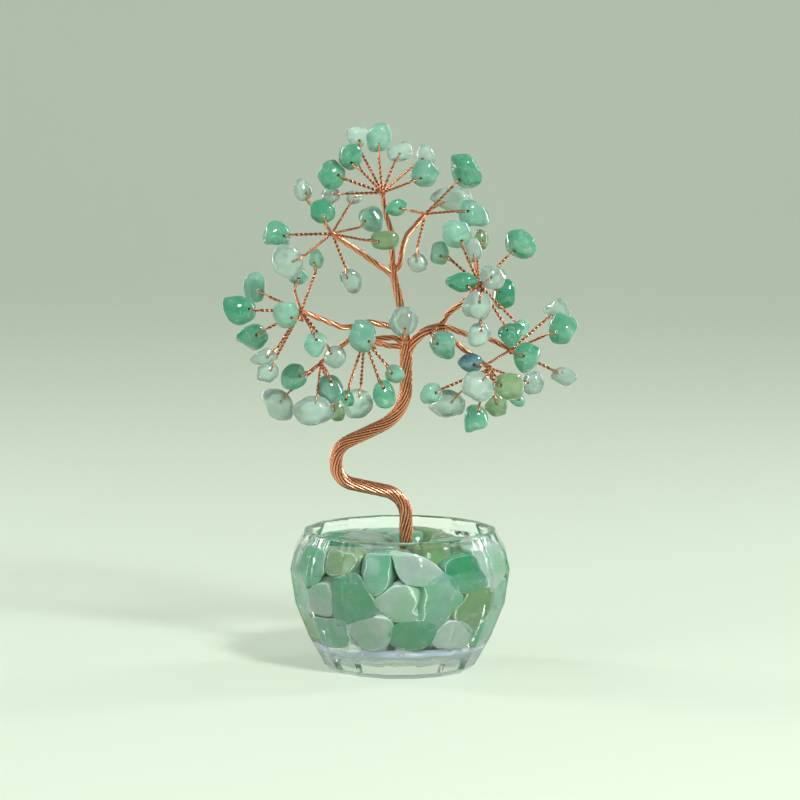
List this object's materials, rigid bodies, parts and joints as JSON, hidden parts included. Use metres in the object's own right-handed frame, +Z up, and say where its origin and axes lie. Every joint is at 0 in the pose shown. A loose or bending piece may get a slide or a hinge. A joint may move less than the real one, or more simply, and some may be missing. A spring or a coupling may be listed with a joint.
{
  "type": "gemstone tree ornament",
  "caption": "Small tree of twisted copper wire with drilled green stone chips on its boughs, rooted in a faceted glass bowl of tumbled stones; stands on a shelf as an ornament.",
  "frame": {"origin": "centre of the bowl's flat base", "axes": "+Z up, -Y towards the viewer of the picture, +X to the viewer's right"},
  "size_m": [0.0891, 0.055, 0.137],
  "materials": {
    "clear_glass": "polished, softly faceted",
    "clear_glue": "clear set glue",
    "copper_wire": "bright drawn copper",
    "pale_quartz": "tumble polished, translucent",
    "mint_aventurine": "tumble polished, translucent",
    "green_aventurine": "tumble polished, translucent",
    "olive_aventurine": "tumble polished, translucent",
    "teal_apatite": "rough, translucent"
  },
  "bodies": {
    "stand": {"bowl_clear_stones": "pale_quartz", "bowl_green_stones": "green_aventurine", "bowl_mint_stones": "mint_aventurine", "bowl_olive_stones": "olive_aventurine", "fork_clear_chips": "pale_quartz", "fork_twig": "copper_wire", "glass_bowl": "clear_glass", "glue_bed": "clear_glue", "leader": "copper_wire", "limb_mint_chips": "mint_aventurine", "limb_twig": "copper_wire", "right_limb": "copper_wire", "trunk": "copper_wire"},
    "top_bough": {"top_clear_chips": "pale_quartz", "top_green_chips": "green_aventurine", "top_mint_chips": "mint_aventurine", "top_wires": "copper_wire"},
    "upper_left_bough": {"upper_left_clear_chips": "pale_quartz", "upper_left_green_chips": "green_aventurine", "upper_left_mint_chips": "mint_aventurine", "upper_left_olive_chips": "olive_aventurine", "upper_left_wires": "copper_wire"},
    "upper_right_bough": {"upper_right_clear_chips": "pale_quartz", "upper_right_green_chips": "green_aventurine", "upper_right_mint_chips": "mint_aventurine", "upper_right_wires": "copper_wire"},
    "left_bough": {"left_clear_chips": "pale_quartz", "left_green_chips": "green_aventurine", "left_mint_chips": "mint_aventurine", "left_wires": "copper_wire"},
    "lower_left_bough": {"lower_left_clear_chips": "pale_quartz", "lower_left_green_chips": "green_aventurine", "lower_left_mint_chips": "mint_aventurine", "lower_left_olive_chips": "olive_aventurine", "lower_left_wires": "copper_wire"},
    "inner_left_bough": {"inner_left_clear_chips": "pale_quartz", "inner_left_green_chips": "green_aventurine", "inner_left_mint_chips": "mint_aventurine", "inner_left_wires": "copper_wire"},
    "right_bough": {"right_clear_chips": "pale_quartz", "right_green_chips": "green_aventurine", "right_mint_chips": "mint_aventurine", "right_olive_chips": "olive_aventurine", "right_wires": "copper_wire"},
    "far_right_bough": {"far_right_clear_chips": "pale_quartz", "far_right_green_chips": "green_aventurine", "far_right_teal_chips": "teal_apatite", "far_right_wires": "copper_wire"},
    "lower_right_bough": {"lower_right_clear_chips": "pale_quartz", "lower_right_green_chips": "green_aventurine", "lower_right_mint_chips": "mint_aventurine", "lower_right_olive_chips": "olive_aventurine", "lower_right_wires": "copper_wire"}
  },
  "joints": [
    {"name": "top_swing", "type": "hinge", "parent": "stand", "child": "top_bough", "pos_m": [-0.0019, 0, 0.10175], "axis": [0, 0, 1], "range_deg": [-15, 15]},
    {"name": "upper_left_swing", "type": "hinge", "parent": "stand", "child": "upper_left_bough", "pos_m": [-0.0015, 0, 0.0986], "axis": [0, 0, 1], "range_deg": [-15, 15]},
    {"name": "upper_right_swing", "type": "hinge", "parent": "stand", "child": "upper_right_bough", "pos_m": [-0.0018, 0, 0.1005], "axis": [0, 0, 1], "range_deg": [-15, 15]},
    {"name": "left_swing", "type": "hinge", "parent": "stand", "child": "left_bough", "pos_m": [0.00065, 0, 0.0854], "axis": [0, 0, 1], "range_deg": [-15, 15]},
    {"name": "lower_left_swing", "type": "hinge", "parent": "stand", "child": "lower_left_bough", "pos_m": [0.0011, 0, 0.0834], "axis": [0, 0, 1], "range_deg": [-15, 15]},
    {"name": "inner_left_swing", "type": "hinge", "parent": "stand", "child": "inner_left_bough", "pos_m": [0.0015, 0, 0.081], "axis": [0, 0, 1], "range_deg": [-15, 15]},
    {"name": "right_swing", "type": "hinge", "parent": "stand", "child": "right_bough", "pos_m": [0.011, 0, 0.0875], "axis": [0, 0, 1], "range_deg": [-15, 15]},
    {"name": "far_right_swing", "type": "hinge", "parent": "stand", "child": "far_right_bough", "pos_m": [0.011, 0, 0.08615], "axis": [0, 0, 1], "range_deg": [-15, 15]},
    {"name": "lower_right_swing", "type": "hinge", "parent": "stand", "child": "lower_right_bough", "pos_m": [0.011, 0, 0.0848], "axis": [0, 0, 1], "range_deg": [-15, 15]}
  ]
}
